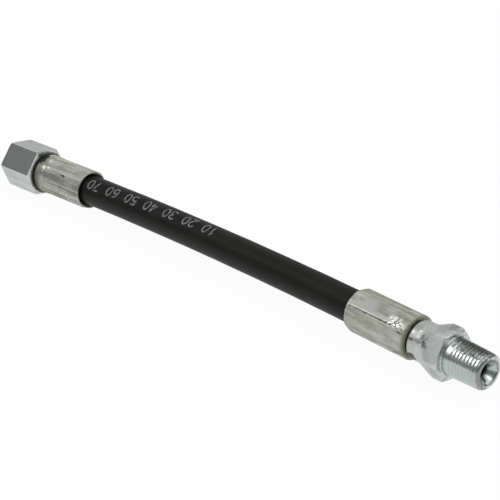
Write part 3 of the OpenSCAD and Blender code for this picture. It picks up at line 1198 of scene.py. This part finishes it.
@dataclass
class SwivelStem:
    """Stem with the cone nose that seals and the head that the nut turns on."""

    line: HoseLine
    step_deg: float = 3.75
    nose_at: float = 8.2 * MM
    nose_tip_r: float = 3.7 * MM
    nose_foot_r: float = 6.1 * MM
    head_r: float = 6.8 * MM
    head_end: float = 19.6 * MM
    groove_at: float = 15.1 * MM
    groove_r: float = 0.72 * MM
    nose_deg: float = 30
    nose_round: float = 0.3 * MM
    head_round: float = 0.5 * MM
    end_step: float = 0.1 * MM
    tail: HoseTail = HoseTail()

    def build(self) -> Piece:
        """Makes the stem.

        Returns:
            The piece, for the node swivel_stem.
        """
        skin = Skin(self.line, even_angles(self.step_deg))
        nose_length = (self.nose_foot_r - self.nose_tip_r) / math.tan(math.radians(self.nose_deg))
        foot = self.nose_at + nose_length
        at = self.line.fitting_end(End.SWIVEL)
        skin.outline(
            [
                (at + self.tail.end, self.tail.flow_r),
                (self.nose_at, self.tail.flow_r, self.nose_round),
                (self.nose_at, self.nose_tip_r, self.nose_round),
                (foot, self.nose_foot_r),
                (foot, self.head_r, self.nose_round),
                *half_round(self.groove_at, self.head_r, -self.groove_r),
                (self.head_end, self.head_r, self.head_round),
                (self.head_end, self.tail.collar_r),
                *((at + inwards, radius) for inwards, radius in self.tail.outline()[:-1]),
                (at + self.tail.end, self.tail.flow_r + self.end_step),
            ]
        )
        return skin.build("swivel_stem_turned")

    def dress(self) -> Piece:
        """Makes the stem, plates it and seats it on the hose's body.

        Returns:
            The piece.
        """
        plating = NUT_ZINC.material(self.line, End.SWIVEL)
        return self.build().finish(Body.HOSE, Slot.BRIGHT_ZINC, plating, "swivel_stem")


@dataclass
class Ferrule:
    """Shell that dies have pressed onto the hose, with a land left between each two of them."""

    line: HoseLine
    end: End
    land_deg: float
    dents: tuple[Dent, ...]
    marks: dict[str, Mark]
    crimp: Crimp = Crimp()
    dies: int = 8
    outer_r: float = 8.42 * MM
    flat_r: float = 7.95 * MM
    edge_round: float = 0.67 * MM
    press_start: float = 4.7 * MM
    press_end: float = 6.1 * MM
    land_blend: float = 0.05 * MM
    mouth_r: float = 7.5 * MM
    mouth_round: float = 0.7 * MM
    mouth_edge: float = 0.08 * MM
    recess_r: float = 6.5 * MM
    recess: float = 1.5 * MM
    recess_edge: float = 0.15 * MM
    lip_r: float = 4.82 * MM
    lip_end: float = 3.98 * MM
    face_step: float = 0.1 * MM
    crease_deg: float = 4.3
    crease_width_deg: float = 0.6
    crease_depth: float = 0.09 * MM
    land_offsets: tuple[float, ...] = (1.2, 2.3, 3.0, 3.5, 4.0, 4.5, 5.0, 5.8)
    flat_steps: int = 13
    row_step: float = 0.25 * MM
    edge_rows: int = 7
    sharp_deg: float = 30

    def station(self, inwards: Number) -> Number:
        """Gives the station of a distance from the fitting end towards the hose."""
        return self.line.fitting_end(self.end) + self.line.inwards(self.end) * np.asarray(inwards)

    def outside(self, inwards: float, heights: np.ndarray) -> np.ndarray:
        """Gives the outer radius at a distance from the fitting end.

        Args:
            inwards: That distance.
            heights: Height angles, in radians.

        Returns:
            The radius at each of them.
        """
        sector = 2 * math.pi / self.dies
        from_flat = (heights - math.radians(self.land_deg)) % sector - sector / 2
        body = self.outer_r
        for edge, reach in (
            (self.edge_round, self.edge_round - inwards),
            (self.mouth_round, inwards - self.line.ferrule_length + self.mouth_round),
        ):
            body -= edge - math.sqrt(edge**2 - max(0.0, reach) ** 2)
        pressed = soft_min(body, self.flat_r / np.cos(from_flat), self.land_blend)
        off_land = np.degrees(sector / 2 - np.abs(from_flat))
        crease = np.exp(-(((off_land - self.crease_deg) / self.crease_width_deg) ** 2))
        pressed = pressed - self.crease_depth * crease
        share = ease(inwards, self.press_start, self.press_end)
        return body + (pressed - body) * share

    def build(self) -> Piece:
        """Makes the ferrule.

        Returns:
            The piece, for the ferrule's node.
        """
        heights = sector_angles(self.dies, self.land_deg, self.land_offsets, self.flat_steps)
        skin = Skin(self.line, heights)
        length = self.line.ferrule_length
        quarter = np.linspace(0, math.pi / 2, self.edge_rows)
        stops = [self.edge_round * (1 - math.cos(angle)) for angle in quarter]
        stops += list(np.arange(self.edge_round, length - self.mouth_round, self.row_step)[1:])
        stops += [length - self.mouth_round * (1 - math.sin(angle)) for angle in quarter]
        for inwards in stops:
            skin.row(self.station(inwards), self.outside(inwards, heights))
        inner = [
            (length, self.mouth_r, self.mouth_edge),
            (self.crimp.flare_end, self.crimp.hose_r + self.crimp.gap),
            (self.crimp.flare_start, self.crimp.pressed_r),
            *reversed(self.crimp.grip(0.0)),
            (self.lip_end, self.crimp.pressed_r),
            (self.lip_end, self.lip_r),
            (self.recess, self.lip_r),
            (self.recess, self.recess_r),
            (0.0, self.recess_r, self.recess_edge),
            (0.0, self.outer_r - self.edge_round - self.face_step),
        ]
        skin.outline([(float(self.station(point[0])), *point[1:]) for point in inner])
        return skin.build(f"{self.end.value}_ferrule_crimped", self.sharp_deg, self.dents)

    def dress(self) -> Piece:
        """Makes the ferrule, plates it and seats it on the hose's body.

        Returns:
            The piece.
        """
        plating = FERRULE_ZINC.material(self.line, self.end, self.marks)
        node = f"{self.end.value}_ferrule"
        return self.build().finish(Body.HOSE, Slot.FERRULE_ZINC, plating, node)


@dataclass
class PipeStem:
    """Stem with a round neck, a flared hexagon and a taper thread with a seat in its mouth."""

    line: HoseLine
    neck_r: float = 7.4 * MM
    shoulder_at: float = 1.0 * MM
    shoulder_round: float = 1.1 * MM
    neck_length: float = 1.9 * MM
    flare_radius: float = 11.6 * MM
    across_flats: float = 17.46 * MM
    corner_deg: float = 0.0
    hex_length: float = 5.6 * MM
    hex_chamfer: float = 1.1 * MM
    spigot_length: float = 15.5 * MM
    tip_r: float = 6.625 * MM
    taper: float = 1 / 32
    tip_round: float = 1.4 * MM
    seat_r: float = 4.55 * MM
    band: float = 2.2 * MM
    thread_depth: float = 0.3 * MM
    thread_flat: float = 0.5
    thread_fade: float = 2 * MM
    edge: float = 0.75 * MM
    slope_deg: float = 30
    chamfer_rise: float = 0.3 * MM
    chamfer_rows: int = 18
    face_steps: tuple[float, ...] = (0.1 * MM, 0.4 * MM, 0.8 * MM)
    root_step: float = 0.25 * MM
    neck_rows: int = 6
    flare_rows: int = 30
    flare_overrun: float = 1.06
    tip_start: float = 0.65
    tip_stop: float = 0.995
    tip_rows: int = 8
    tip_step: float = 0.1 * MM
    seat_edge: float = 0.12 * MM
    sharp_deg: float = 25
    tail: HoseTail = HoseTail()

    def build(self) -> Piece:
        """Makes the stem.

        Returns:
            The piece, for the node pipe_stem.
        """
        heights = hexagon_angles(self.corner_deg)
        skin = Skin(self.line, heights)
        at = self.line.fitting_end(End.PIPE)
        corner_r = corner_radius(self.across_flats)
        neck = self.shoulder_at + self.shoulder_round
        flare = neck + self.neck_length
        turn = math.acos(1 - (corner_r - self.neck_r) / self.flare_radius)
        back = flare + self.flare_radius * math.sin(turn)
        front = back + self.hex_length
        tip = front + self.spigot_length
        skin.outline(
            [
                *((at - inwards, radius) for inwards, radius in reversed(self.tail.outline())),
                (at + self.shoulder_at, self.tail.collar_r),
                (at + self.shoulder_at, self.neck_r, self.shoulder_round),
                (at + flare, self.neck_r),
            ],
            self.neck_rows,
        )
        first = len(skin.rows)
        for angle in np.linspace(0, turn * self.flare_overrun, self.flare_rows)[1:]:
            radius = self.neck_r + self.flare_radius * (1 - math.cos(angle))
            skin.row(at + flare + self.flare_radius * math.sin(angle), radius)
        slope = math.tan(math.radians(self.slope_deg))
        for rise in np.linspace(self.chamfer_rise, -self.hex_chamfer, self.chamfer_rows):
            skin.row(at + front - (self.hex_chamfer + rise) * slope, corner_r + rise)
        for step in self.face_steps:
            skin.row(at + front, corner_r - self.hex_chamfer - step)
        skin.limit(hexagon(self.across_flats, self.corner_deg, heights), self.edge, first)
        root_r = self.tip_r + self.taper * self.spigot_length
        skin.row(at + front, root_r + self.root_step)
        start, end = at + front + self.root_step, at + tip

        def crest(station: Number) -> Number:
            """Gives the radius over the thread, with the rounded tip.

            Args:
                station: Where it is wanted.

            Returns:
                The radius.
            """
            past = np.clip((station - (end - self.tip_round)) / self.tip_round, 0, 1)
            body = self.tip_r + self.taper * (end - station)
            return body - self.tip_round * (1 - np.sqrt(1 - past**2))

        def depth(station: Number) -> Number:
            """Gives the thread's depth, which runs out at the hexagon and at the tip.

            Args:
                station: Where it is wanted.

            Returns:
                The depth.
            """
            room = crest(station) - (self.tip_r - self.thread_depth)
            fade = ease(station, start + self.band, start + self.band + self.thread_fade)
            return np.clip(room, 0, self.thread_depth) * fade

        cut = ThreadCut(crest, depth, flat=self.thread_flat)
        skin.thread(cut, start, end - self.tip_round * (1 - self.tip_start))
        for share in np.linspace(self.tip_start, self.tip_stop, self.tip_rows)[1:]:
            station = end - self.tip_round * (1 - share)
            skin.row(station, cut.radius(station, heights))
        face_r = float(crest(end - self.tip_round * (1 - self.tip_stop)))
        seat_depth = (self.seat_r - self.tail.flow_r) / slope
        skin.outline(
            [
                (end, face_r - self.tip_step),
                (end, self.seat_r, self.seat_edge),
                (end - seat_depth, self.tail.flow_r),
            ]
        )
        return skin.build("pipe_stem_turned", self.sharp_deg)

    def dress(self) -> Piece:
        """Makes the stem, plates it and seats it on the hose's body.

        Returns:
            The piece.
        """
        plating = STEM_ZINC.material(self.line, End.PIPE, STEM_MARKS)
        return self.build().finish(Body.HOSE, Slot.STEM_ZINC, plating, "pipe_stem")


@dataclass
class HoseCover:
    """Black cover of the hose: the stretch in sight, a little uneven, and its crimped ends."""

    line: HoseLine
    crimp: Crimp = Crimp()
    outer_r: float = HOSE_R
    inner_r: float = 5.075 * MM
    tuck: float = 2.25 * MM
    rings: int = 125
    step_deg: float = 3.75
    end_step_deg: float = 5
    wave: float = 0.03 * MM
    wave_start: float = 6 * MM
    wave_turn: float = 90  # radians that the wave turns round the hose in each metre
    wave_beat: float = 210  # radians of its rise and fall in each metre
    path: list[list[float]] = field(default_factory=list)

    def build(self) -> Piece:
        """Makes the stretch in sight, which runs a little way into both ferrules' mouths.

        Returns:
            The piece, for the node outer_cover.
        """
        skin = Skin(self.line, even_angles(self.step_deg))
        first, last = self.line.bend_start - self.tuck, self.line.bend_end + self.tuck
        stops = np.linspace(first, last, self.rings)
        self.path = self.line.point(stops, 0, 0).tolist()
        for station in stops:
            free = ease(station, first, first + self.wave_start)
            free *= ease(-station, -last, self.wave_start - last)
            wave = self.wave * np.sin(2 * skin.heights + station * self.wave_turn)
            wave = wave * math.sin(station * self.wave_beat)
            skin.row(station, self.outer_r + wave * free)
        for station in stops[::-1]:
            skin.row(station, self.inner_r)
        return skin.build("hose_cover_tube")

    def crimped_end(self, end: End) -> Piece:
        """Makes the stretch that a ferrule grips.

        Args:
            end: End of the hose that it is at.

        Returns:
            The piece.
        """
        skin = Skin(self.line, even_angles(self.end_step_deg))
        crimp = self.crimp
        outer_end = self.line.ferrule_length - self.tuck
        pressed_r = crimp.pressed_r - crimp.gap
        outline = [
            (crimp.hose_start, crimp.braid_r),
            (crimp.hose_start, pressed_r),
            *crimp.grip(crimp.gap),
            (crimp.flare_start, pressed_r),
            (outer_end, self.outer_r - crimp.gap),
            (outer_end, crimp.braid_r),
        ]
        start, side = self.line.fitting_end(end), self.line.inwards(end)
        skin.outline([(start + side * inwards, radius) for inwards, radius in outline])
        return skin.build(f"hose_cover_{end.value}_end")

    def dress(self) -> Piece:
        """Makes the whole cover and seats it on the hose's body.

        Returns:
            The stretch in sight.
        """
        rubber = COVER_RUBBER.material()
        tube = self.build().finish(Body.HOSE, Slot.COVER_RUBBER, rubber, "outer_cover")
        for end in End:
            self.crimped_end(end).finish(Body.HOSE, Slot.COVER_RUBBER, rubber, "outer_cover")
        return tube


@dataclass
class HosePrint:
    """Light print along the hose: plain counting numbers at even steps."""

    line: HoseLine
    numbers: tuple[str, ...] = ("70", "60", "50", "40", "30", "20", "10")
    first: float = 55.5 * MM
    pitch: float = 11.6 * MM
    first_height_deg: float = 55
    twist_deg: float = 0.24
    glyph_height: float = 4.3 * MM
    glyph_width: float = 2.7 * MM
    glyph_step: float = 3.9 * MM
    stroke: float = 0.62 * MM
    longest_step: float = 0.35 * MM
    ring_points: int = 17
    surface_r: float = HOSE_R
    proud: float = 0.05 * MM
    sunk: float = 0.06 * MM

    def glyph(self, digit: str) -> list[list[tuple[float, float]]]:
        """Gives the strokes of a digit.

        Args:
            digit: The digit.

        Returns:
            The points of each stroke, in a box of width 1 and height 1 with its foot at 0.
        """
        ring = [
            (0.5 + 0.5 * math.sin(angle), 0.5 - 0.5 * math.cos(angle))
            for angle in np.linspace(0, 2 * math.pi, self.ring_points)
        ]
        strokes = {
            "0": [ring],
            "1": [[(0.2, 0.78), (0.55, 1.0), (0.55, 0.0)]],
            "2": [[(0.02, 0.78), (0.2, 0.96), (0.5, 1.0), (0.82, 0.93), (0.97, 0.74),
                   (0.85, 0.5), (0.0, 0.0), (1.0, 0.0)]],
            "3": [[(0.03, 0.86), (0.45, 1.0), (0.85, 0.9), (0.92, 0.72), (0.75, 0.55),
                   (0.42, 0.52), (0.8, 0.46), (1.0, 0.27), (0.85, 0.07), (0.45, 0.0), (0.0, 0.13)]],
            "4": [[(0.75, 0.0), (0.75, 1.0), (0.0, 0.3), (1.0, 0.3)]],
            "5": [[(0.92, 1.0), (0.15, 1.0), (0.08, 0.55), (0.5, 0.63), (0.88, 0.52),
                   (1.0, 0.3), (0.85, 0.08), (0.45, 0.0), (0.0, 0.1)]],
            "6": [[(0.88, 0.94), (0.5, 1.0), (0.15, 0.8), (0.0, 0.4), (0.15, 0.08), (0.5, 0.0),
                   (0.87, 0.1), (1.0, 0.32), (0.85, 0.54), (0.5, 0.6), (0.05, 0.42)]],
            "7": [[(0.0, 1.0), (1.0, 1.0), (0.35, 0.0)]],
        }
        return strokes[digit]

    def ribbon(
        self, stroke: Sequence[tuple[float, float]], start: float
    ) -> tuple[np.ndarray, list[tuple[int, ...]]]:
        """Lays one stroke on the hose as a thin raised band.

        Args:
            stroke: Its points in the digit's box.
            start: Station of the digit's left side, from which it is read towards the nut.

        Returns:
            The band's points and faces.
        """
        corners = np.array(stroke) * (self.glyph_width, self.glyph_height)
        middle = [corners[0]]
        for here, there in zip(corners, corners[1:]):
            parts = math.ceil(float(np.linalg.norm(there - here)) / self.longest_step)
            middle += [here + (there - here) * part / parts for part in range(1, parts + 1)]
        middle = np.array(middle)
        steps = np.diff(middle, axis=0)
        steps /= np.linalg.norm(steps, axis=1)[:, None]
        ahead, behind = np.vstack([steps, steps[-1:]]), np.vstack([steps[:1], steps])
        run = ahead + behind
        run /= np.linalg.norm(run, axis=1)[:, None]
        spread = self.stroke / 2 / np.maximum(0.5, np.sum(run * ahead, axis=1))[:, None]
        aside = np.stack([-run[:, 1], run[:, 0]], axis=1) * spread
        rows = []
        for side, lift in ((1, self.proud), (-1, self.proud), (-1, -self.sunk), (1, -self.sunk)):
            flat = middle + aside * side
            station = start - flat[:, 0]
            turned = self.first_height_deg + self.twist_deg * (station - self.first) / MM
            height = np.radians(turned) + (self.glyph_height / 2 - flat[:, 1]) / self.surface_r
            rows.append(self.line.point(station, self.surface_r + lift, height))
        points = np.stack(rows, axis=1).reshape(-1, 3)
        faces = [(0, 1, 2, 3)]
        for index in range(len(middle) - 1):
            for corner in range(4):
                here, turn = 4 * index + corner, 4 * index + (corner + 1) % 4
                faces.append((here, turn, turn + 4, here + 4))
        last = 4 * (len(middle) - 1)
        faces.append((last + 3, last + 2, last + 1, last))
        return points, faces

    def build(self) -> Piece:
        """Makes the print.

        Returns:
            One piece with all its numbers.
        """
        points, faces = [], []
        for place, number in enumerate(self.numbers):
            middle = self.first + self.pitch * place
            for slot, digit in enumerate(number):
                start = middle + self.glyph_step * (len(number) / 2 - slot) - self.stroke
                for stroke in self.glyph(digit):
                    band, sides = self.ribbon(stroke, start)
                    shift = sum(len(part) for part in points)
                    faces += [tuple(corner + shift for corner in side) for side in sides]
                    points.append(band)
        return Piece.from_faces("hose_print_numbers", np.concatenate(points), faces)

    def dress(self) -> Piece:
        """Makes the print, inks it and seats it on the hose's body.

        Returns:
            The piece.
        """
        return self.build().finish(Body.HOSE, Slot.COVER_RUBBER, PRINT_INK.material())


@dataclass
class HiddenLayers:
    """Construction nodes that stay in use under the pieces made here."""

    line: HoseLine

    def dress(self, nodes: dict[str, bpy.types.Object]) -> None:
        """Gives each of them its material and reports it.

        Args:
            nodes: All construction nodes, by name.
        """
        materials = {
            "nut_retaining_wire": SPRING_WIRE.material(self.line, End.SWIVEL),
            "inner_tube": TUBE_RUBBER.material(),
            "wire_braid": BRAID_WIRE.material(),
        }
        for name, material in materials.items():
            nodes[name].data.materials.clear()
            nodes[name].data.materials.append(material)
            LOG.info("%s: construction node, in %s", name, material.name)


# ---------------------------------------------------------------- stage


@dataclass(frozen=True)
class Viewpoint:
    """Camera that looks at the middle of the assembly from the pipe end.

    Aside and above move it square to its line of sight, without turning it.
    """

    target: Place = (0.1332, -0.0021, 0.0)
    azimuth_deg: float = 44.24
    elevation_deg: float = 25.55
    roll_deg: float = -1.06
    distance: float = 0.5901
    aside: float = 8.71 * MM
    above: float = -0.84 * MM
    lens: float = 108.0
    sensor: float = 36.0
    reach: tuple[float, float] = (0.01, 50.0)

    def build(self) -> bpy.types.Object:
        """Makes the camera and hands it to the scene.

        Returns:
            The camera.
        """
        azimuth, elevation = math.radians(self.azimuth_deg), math.radians(self.elevation_deg)
        level = math.cos(elevation)
        back = Vector(
            (math.sin(azimuth) * level, -math.cos(azimuth) * level, math.sin(elevation))
        )
        right = Vector((0, 0, 1)).cross(back).normalized()
        up = back.cross(right)
        roll = math.radians(self.roll_deg)
        right, up = (
            right * math.cos(roll) + up * math.sin(roll),
            up * math.cos(roll) - right * math.sin(roll),
        )
        place = Vector(self.target) + right * self.aside + up * self.above + back * self.distance
        data = bpy.data.cameras.new("camera")
        data.sensor_width = self.sensor
        data.lens = self.lens
        data.clip_start, data.clip_end = self.reach
        camera = bpy.data.objects.new("camera", data)
        camera.matrix_world = Matrix.Translation(place) @ Matrix(
            (right, up, back)
        ).transposed().to_4x4()
        bpy.context.scene.collection.objects.link(camera)
        bpy.context.scene.camera = camera
        return camera


@dataclass(frozen=True)
class Softbox:
    """Flat studio lamp that gives soft shadows."""

    name: str
    place: Place
    aim: Place
    width: float
    height: float
    power: float

    def build(self) -> bpy.types.Object:
        """Makes the lamp.

        Returns:
            The lamp.
        """
        data = bpy.data.lights.new(self.name, "AREA")
        data.shape = "RECTANGLE"
        data.size, data.size_y = self.width, self.height
        data.energy = self.power
        lamp = bpy.data.objects.new(self.name, data)
        lamp.location = self.place
        towards = Vector(self.aim) - Vector(self.place)
        lamp.rotation_mode = "QUATERNION"
        lamp.rotation_quaternion = towards.to_track_quat("-Z", "Y")
        bpy.context.scene.collection.objects.link(lamp)
        return lamp


@dataclass(frozen=True)
class Studio:
    """Pale floor, grey room and three soft lamps."""

    floor_half: float = 4.0
    floor_tone: float = 0.9
    floor_glow: float = 0.95
    room: Colour = (0.27, 0.275, 0.27)
    softboxes: tuple[Softbox, ...] = (
        Softbox("lamp_top", (0.45, 0.25, 1.15), (0.13, 0, 0), width=1.8, height=1.8, power=11.6),
        Softbox("lamp_left", (-0.349, -0.521, 0.835), (0.13, 0, 0), width=0.5, height=0.56, power=2.75),
        Softbox("lamp_back", (-0.38, 0.42, 0.2), (0.03, 0, 0), width=0.4, height=0.4, power=0.24),
    )

    def floor(self, ground: float) -> None:
        """Makes the floor, which looks evenly lit but still takes the lamps' light and shadows.

        Args:
            ground: Its height.
        """
        half = self.floor_half
        corners = [(-half, -half), (half, -half), (half, half), (-half, half)]
        points = np.array([(x, y, ground) for x, y in corners])
        floor = Piece.from_faces("floor", points, [(0, 1, 2, 3)]).thing
        graph = Graph("floor_white")
        ray = graph.add("ShaderNodeLightPath")
        seen = Value(graph, ray.outputs["Is Camera Ray"])
        seen = graph.maths("MAXIMUM", seen, Value(graph, ray.outputs["Is Glossy Ray"]))
        seen = graph.maths("MAXIMUM", seen, Value(graph, ray.outputs["Is Transmission Ray"]))
        tone = self.floor_tone
        matt = graph.add("ShaderNodeBsdfDiffuse", None, {"Color": (tone, tone, tone, 1)})
        glow = graph.add("ShaderNodeEmission", None, {"Color": (1, 1, 1, 1), "Strength": 1.0})
        inputs = {0: seen * self.floor_glow, 1: matt.outputs[0], 2: glow.outputs[0]}
        mixed = graph.add("ShaderNodeMixShader", None, inputs)
        graph.add("ShaderNodeOutputMaterial", None, {"Surface": mixed.outputs[0]})
        floor.data.materials.append(graph.material)
        floor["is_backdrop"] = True

    def build(self, ground: float) -> None:
        """Makes the floor, the world and the lamps.

        Args:
            ground: Height of the floor.
        """
        self.floor(ground)
        world = bpy.data.worlds.new("room")
        world.use_nodes = True
        world.node_tree.nodes["Background"].inputs[0].default_value = (*self.room, 1)
        bpy.context.scene.world = world
        for softbox in self.softboxes:
            softbox.build()


# ---------------------------------------------------------------- all of it


def main() -> None:
    """Builds the camera, the hose, the fittings and the stage in order."""
    logging.basicConfig(level=logging.INFO, format="%(message)s")
    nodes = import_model()["nodes"]
    model_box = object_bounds()
    bpy.context.scene.view_settings.view_transform = "Standard"
    Viewpoint().build()
    line = HoseLine()

    cover = HoseCover(line)
    tube = cover.dress()
    numbers = HosePrint(line).dress()
    SwivelNut(line).dress()
    SwivelStem(line).dress()
    Ferrule(
        line, End.SWIVEL, land_deg=1.0, dents=SWIVEL_FERRULE_DENTS, marks=SWIVEL_FERRULE_MARKS
    ).dress()
    pipe_ferrule = Ferrule(
        line, End.PIPE, land_deg=33.0, dents=PIPE_FERRULE_DENTS, marks=PIPE_FERRULE_MARKS
    ).dress()
    pipe_stem = PipeStem(line).dress()
    HiddenLayers(line).dress(nodes)

    line.point(line.bend_start, 0, 0).tolist()

    Studio().build(model_box[0].z)


if __name__ == "__main__":
    main()
